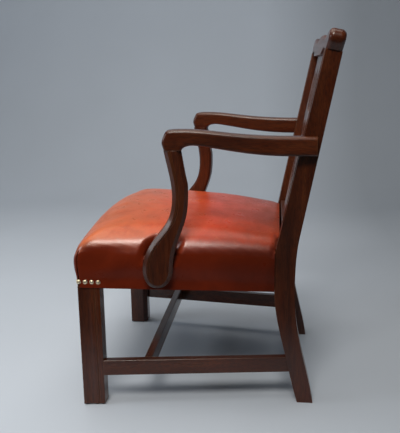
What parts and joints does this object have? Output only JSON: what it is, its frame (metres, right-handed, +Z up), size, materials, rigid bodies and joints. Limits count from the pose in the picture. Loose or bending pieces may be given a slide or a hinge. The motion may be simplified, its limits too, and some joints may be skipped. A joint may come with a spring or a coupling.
{
  "type": "child's elbow chair",
  "caption": "Child's mahogany elbow chair with a pierced vase splat, serpentine crest rail, shaped open arms, square legs joined by stretchers and a stuffed red leather seat.",
  "frame": {"origin": "on the floor, under the middle of the whole chair's width and depth", "axes": "+X to the sitter's left, +Y to the back of the chair, +Z up"},
  "size_m": [0.4572, 0.4677, 0.6715],
  "materials": {
    "mahogany": "French polished",
    "frame_wood": "bare",
    "leather": "worn and waxed",
    "stuffing": "loose fibre",
    "hessian": "coarse weave",
    "webbing": "herringbone weave",
    "brass": "polished",
    "steel": "dulled"
  },
  "bodies": {
    "root": {"front_leg_left": "mahogany", "front_leg_right": "mahogany", "back_leg_left": "mahogany", "back_leg_right": "mahogany", "side_stretcher_left": "mahogany", "side_stretcher_right": "mahogany", "medial_stretcher": "mahogany", "rear_stretcher": "mahogany", "splat_shoe": "mahogany", "splat": "mahogany", "crest_rail": "mahogany", "arm_left": "mahogany", "arm_right": "mahogany", "arm_support_left": "mahogany", "arm_support_right": "mahogany", "back_seat_rail": "mahogany", "front_seat_rail": "frame_wood", "side_seat_rail_left": "frame_wood", "side_seat_rail_right": "frame_wood", "corner_block_front_left": "frame_wood", "corner_block_front_right": "frame_wood", "corner_block_back_left": "frame_wood", "corner_block_back_right": "frame_wood", "seat_cover": "leather", "seat_stuffing": "stuffing", "hessian": "hessian", "webbing_lengthwise": "webbing", "webbing_crosswise": "webbing", "brass_nails_left": "brass", "brass_nails_right": "brass", "arm_screws": "steel", "arm_support_screws": "steel", "corner_block_screws": "steel"}
  },
  "joints": []
}
